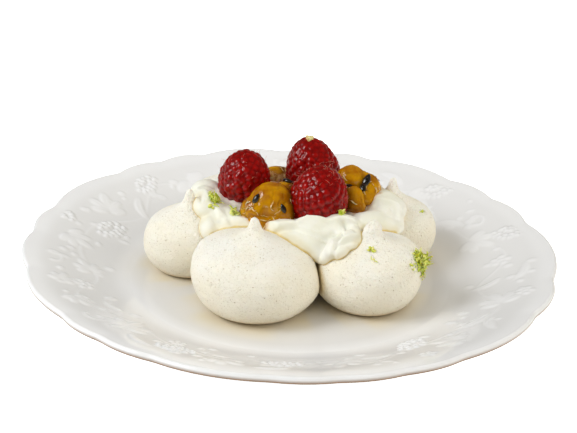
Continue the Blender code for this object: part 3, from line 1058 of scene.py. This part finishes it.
# ---- The raspberries
def berry_places(berry, dice):
    """Where each drupelet's middle sits and which way it points, in a spiral from the tip down."""
    lean = Matrix.Rotation(radians(berry.lean_x), 3, "Y")
    lean = lean @ Matrix.Rotation(radians(-berry.lean_y), 3, "X")
    places = []
    count = round(3.6 * berry.width * berry.tall / DRUPELET_AREA)
    for number in range(count):
        level = 1 - 2 * (number + 0.5) / count + dice.uniform(-0.5, 0.5) * (2 / count)
        turn = number * GOLDEN_TURN + dice.uniform(-0.1, 0.1)
        flat = sqrt(1 - min(1, level**2))
        outward = Vector((flat * cos(turn), flat * sin(turn), level))
        taper = 1 - berry.taper * outward.z + 0.08 * outward.z**2
        radii = Vector((taper * berry.width, taper * berry.width, berry.tall)) / 2
        middle = Vector(a * b for a, b in zip(radii, outward))
        facing = Vector(b / a for a, b in zip(radii, outward)).normalized()
        places.append((lean @ (middle - facing), lean @ facing, dice.random()))
    return places


def raspberry(name, dice, finish):
    berry = RASPBERRIES[name]
    centre = Vector(berry[:3])
    places = berry_places(berry, dice)
    bpy.ops.mesh.primitive_ico_sphere_add(subdivisions=2, radius=1)
    drupelet = bpy.context.object
    drops = []
    for middle, facing, chance in places:
        wide = DRUPELET * (0.92 + 0.16 * chance)
        size = Matrix.Diagonal((wide, wide * 1.16, wide * 1.02, 1))
        spot = Matrix.Scale(MM, 4) @ Matrix.Translation(centre + middle)
        drops.append((0, spot @ stood(facing) @ size))
    core = ball(centre, (berry.width * 0.45, berry.width * 0.45, berry.tall * 0.45))
    piece = joined([core, spread([drupelet], drops, "drupelets")], "raspberry_fruit_" + name)
    one_skin(piece, BERRY_VOXEL, BERRY_ROUNDS)
    near = KDTree(len(places))
    for number, (middle, _, _) in enumerate(places):
        near.insert((centre + middle) * MM, number)
    near.balance()
    rows = points_of(piece)
    tones, crease_shades = [], []
    for row in rows:
        (_, first, far), (_, _, second) = near.find_n(Vector(row), 2)
        tones.append(places[first][2])
        crease_shades.append(1 - (second - far) / MM / 1.1)
    set_points(piece, filling_box(rows, "raspberry_" + name, NUB if name == "back" else 0.0))
    paint(piece, "tone", np.array(tones) ** 2 * 0.5)
    # Painted shade: the creases between the drupelets are marked to be tinted darker.
    paint(piece, "painted_crease_shade", smoothstep(np.array(crease_shades)) * 0.6)
    return finished(piece, finish, "raspberry", "raspberry_" + name), places


def hairs(berries, dice):
    """The fine dry hairs that stand on the berries, thickest round their tips."""
    curve = [
        (0, 0, 0), (0.10, 0.02, 0.30), (0.26, 0.04, 0.55), (0.52, 0.05, 0.74), (0.80, 0.02, 0.84),
    ]
    hair = drawn("hair", 3, curve, (0.030, 0.027, 0.024, 0.020, 0.012))
    stands = []
    for name, (piece, places) in berries.items():
        skin = surface_of([piece])
        centre = Vector(RASPBERRIES[name][:3])
        upper = [spot for spot in places if spot[1].z > (0.55 if name == "front" else 0.2)]
        lower = [spot for spot in places if -0.5 < spot[1].z <= 0.55]
        for number in range(HAIRS[name]):
            middle, facing, _ = dice.choice(upper if number % 3 else lower)
            off = any_way(dice, 1.5)
            at, normal, _, _ = skin.find_nearest((centre + middle + facing + off) * MM)
            spin = twisted(dice, (normal + 0.9 * any_way(dice)).normalized())
            long = MM * dice.uniform(1.3, 2.7)
            if at.z + long > CAD_HIGH[2]:
                continue
            root = Matrix.Translation(at - 0.1 * MM * normal)
            stands.append((0, root @ spin @ Matrix.Scale(long, 4)))
    return finished(spread([hair], stands, "raspberry_hairs"), hair_finish(), "raspberry")


def nub(piece):
    """The pale end of the core at the tip of the berry at the back."""
    top = Vector(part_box("raspberry_back")[1]).z / MM
    rows = points_of(piece) / MM
    tip = rows[rows[:, 2].argmax()]
    lumps = [ball((tip[0] - 0.8, tip[1], top - 1.0), (1.5, 1.5, 1.2), 3)]
    for number in range(9):
        angle = number * tau / 9 + 0.3
        reach = 1.1 + 0.5 * sin(number * 2.4)
        x, y = tip[0] - 0.8 + reach * cos(angle), tip[1] + reach * sin(angle)
        lumps.append(ball((x, y, top - 1.1 + 0.5 * cos(number * 1.9)), (0.6, 0.6, 0.9), 3))
    end = joined(lumps, "raspberry_core_end")
    one_skin(end, NUB_VOXEL, NUB_ROUNDS)
    rows = points_of(end) / MM
    rows += normals_of(end) * (0.12 * uneven(rows, 0.8, 71))[:, None]
    rows[:, 2] += top - rows[:, 2].max()
    set_points(end, rows * MM)
    return finished(end, nub_finish(), "raspberry")


# ---- The passion fruit
def pulp(name, number, finish, berries):
    piece = lumped(PULP[name], "passion_fruit_" + name, PULP_VOXEL, PULP_ROUNDS)
    rows = points_of(piece) / MM
    low = rows[:, 2].min()
    fold = np.clip(1 - np.abs(uneven(rows * (1, 1, 0.6), 3.2, 55 + number)) / 0.22, 0, 1)
    swell = 0.3 + 0.25 * uneven(rows, 4, 50 + number) + 0.07 * uneven(rows, 1.6, 60 + number)
    wrinkled = smoothstep(uneven(rows, 7, 65 + number) * 3 + 0.3)
    push(piece, swell - 0.18 * fold * wrinkled)
    rows = points_of(piece)
    shaded = smoothstep((3.6 - nearness(rows, berries)) / 3.6) * 0.85
    paint(piece, "shade", np.maximum(shaded, 0.25 * fold * wrinkled))
    line = low + FILM[name] + uneven(rows / MM, 2.2, 70 + number)
    paint(piece, "film", smoothstep((line - rows[:, 2] / MM) / 1.6))
    return finished(piece, finish, "passion_fruit_pulp", "pulp_" + name)


def seeds(pulps):
    bpy.ops.mesh.primitive_uv_sphere_add(segments=18, ring_count=12, radius=1)
    seed = bpy.context.object
    rows = points_of(seed)
    rows *= 1 - 0.28 * np.clip(rows[:, :1], 0, 1) * np.array((0, 1, 1))
    rows += 0.035 * rows * uneven(rows, 0.5, 81)[:, None]
    set_points(seed, rows * (0.5, 0.27, 0.2))
    skin = surface_of(pulps)
    places = []
    for x, y, z, length, turn in SEEDS:
        at, normal, _, _ = skin.find_nearest(Vector((x, y, z)) * MM)
        upward = (Vector((0, 0, 1)) - normal * normal.z).normalized()
        aside = normal.cross(upward)
        turn = radians(turn)
        axis = upward * cos(turn) + aside * sin(turn)
        lift = Matrix.Translation(at + 0.08 * length * MM * normal)
        places.append((0, lift @ laid(axis, normal) @ Matrix.Scale(length * MM, 4)))
    piece = spread([seed], places, "passion_fruit_seeds")
    return finished(piece, seed_finish(), "passion_fruit_pulp")


def fibres(pulps, dice):
    """The pale wet threads of the fruit that lie on the pulp."""
    curve = [
        (0, 0, 0), (0.22, 0.06, 0.05), (0.48, 0.02, 0.08), (0.74, -0.08, 0.05), (1, -0.1, -0.03),
    ]
    thread = drawn("thread", 4, curve, (0.03, 0.07, 0.09, 0.07, 0.025))
    places = []
    for name, piece in zip(PULP, pulps):
        rows, out = points_of(piece), normals_of(piece)
        low = rows[:, 2].min()
        seen = [n for n in range(len(rows)) if out[n][2] > -0.2 and rows[n][2] < low + 0.012]
        for _ in range(FIBRES[name]):
            number = dice.choice(seen)
            at, normal = Vector(rows[number]), Vector(out[number])
            way = any_way(dice)
            way = (way - normal * way.dot(normal)).normalized()
            long = MM * dice.uniform(1.4, 3.6)
            places.append((0, Matrix.Translation(at) @ laid(way, normal) @ Matrix.Scale(long, 4)))
    piece = spread([thread], places, "passion_fruit_fibres")
    return finished(piece, fibre_finish(), "passion_fruit_pulp")


# ---- The lime zest
def zest(grounds, dice):
    hook = drawn(
        "hook", 5,
        [(0, 0, 0), (0.22, 0.02, 0.16), (0.5, 0.0, 0.24), (0.78, -0.04, 0.12), (0.95, -0.02, -0.1)],
        (0.08, 0.13, 0.14, 0.11, 0.05),
    )
    splinter = drawn(
        "splinter", 5, [(0, 0, 0), (0.3, 0.04, 0.05), (0.65, 0.0, 0.12), (1.0, -0.08, 0.1)],
        (0.05, 0.12, 0.10, 0.04),
    )
    crumb = drawn("crumb", 5, [(0, 0, 0), (0.12, 0, 0.14), (0.26, 0.05, 0.2)], (0.14, 0.20, 0.10))
    ground = surface_of(grounds)
    places = []
    for x, y, z, reach, pile, shreds in ZEST:
        for _ in range(shreds):
            far = reach * sqrt(dice.random())
            round_it = dice.uniform(0, tau)
            level = dice.uniform(-1, 1)
            flat = sqrt(1 - level**2)
            off = far * Vector((flat * cos(round_it), flat * sin(round_it), level))
            at, normal, _, _ = ground.find_nearest((Vector((x, y, z)) + off) * MM)
            rise = pile * dice.random() * (1 - (far / reach) ** 2)
            lying = (normal + (0.5 + 0.3 * rise) * any_way(dice)).normalized()
            spin = twisted(dice, lying, "X")
            kind = dice.choice((0, 1, 2, 2))
            long = MM * dice.uniform(1.4, 2.9) * (1 if kind < 2 else 1.5)
            size = Matrix.Diagonal((long, long, long * 0.8, 1))
            lift = Matrix.Translation(at + (0.12 + rise) * MM * normal)
            places.append((kind, lift @ spin @ size))
    piece = spread([hook, splinter, crumb], places, "lime_zest")
    return finished(piece, zest_finish())


# ---- Floor, light and camera
def studio():
    bpy.ops.mesh.primitive_plane_add(size=6)
    floor = bpy.context.object
    floor.name = "floor"
    floor.data.materials.append(floor_finish())
    world = bpy.data.worlds.new("studio")
    bpy.context.scene.world = world
    world.use_nodes = True
    tree = world.node_tree
    mirrored = put(tree, "LightPath").outputs["Is Glossy Ray"]
    strength = ramp(tree, mirrored, 0, 1, SKY_LIGHT, SKY_MIRRORED)
    feed(tree, tree.nodes["Background"].inputs, {"Color": SKY, "Strength": strength})
    for name, (stand, size, power, colour, glossy) in LIGHTS.items():
        light = bpy.data.lights.new(name, "AREA")
        light.size, light.energy, light.color = size, power, colour
        lamp = bpy.data.objects.new(name, light)
        lamp.location = stand
        aim = Vector(LIT_PLACE) - Vector(stand)
        lamp.rotation_euler = aim.to_track_quat("-Z", "Y").to_euler()
        lamp.visible_glossy = glossy
        link(lamp)


def camera():
    down, roll = radians(CAMERA_DOWN), radians(CAMERA_ROLL)
    ahead = Vector((0, cos(down), -sin(down)))
    across = Vector((1, 0, 0))
    above = across.cross(ahead)
    right = cos(roll) * across + sin(roll) * above
    top = cos(roll) * above - sin(roll) * across
    eye = bpy.data.objects.new("camera", bpy.data.cameras.new("camera"))
    eye.data.lens = CAMERA_LENS
    eye.data.sensor_width = SENSOR
    facing = Matrix((right, top, -ahead)).transposed().to_4x4()
    eye.matrix_world = Matrix.Translation(Vector(CAMERA_AIM) - CAMERA_DISTANCE * ahead) @ facing
    link(eye)
    bpy.context.scene.camera = eye


def main():
    bpy.context.scene.view_settings.view_transform = "Standard"
    dice = random.Random(DICE)
    camera()
    studio()
    plate()
    meringue = meringue_finish()
    kisses = [kiss(name, number, meringue) for number, name in enumerate(KISSES)]
    flesh = raspberry_finish()
    grown = {name: raspberry(name, dice, flesh) for name in RASPBERRIES}
    berries = [piece for piece, _ in grown.values()]
    hairs(grown, dice)
    nub(grown["back"][0])
    jelly = pulp_finish()
    pulps = [pulp(name, number, jelly, berries) for number, name in enumerate(PULP)]
    seeds(pulps)
    fibres(pulps, dice)
    topping = cream(berries, pulps, kisses)
    zest(kisses + [topping], dice)


main()
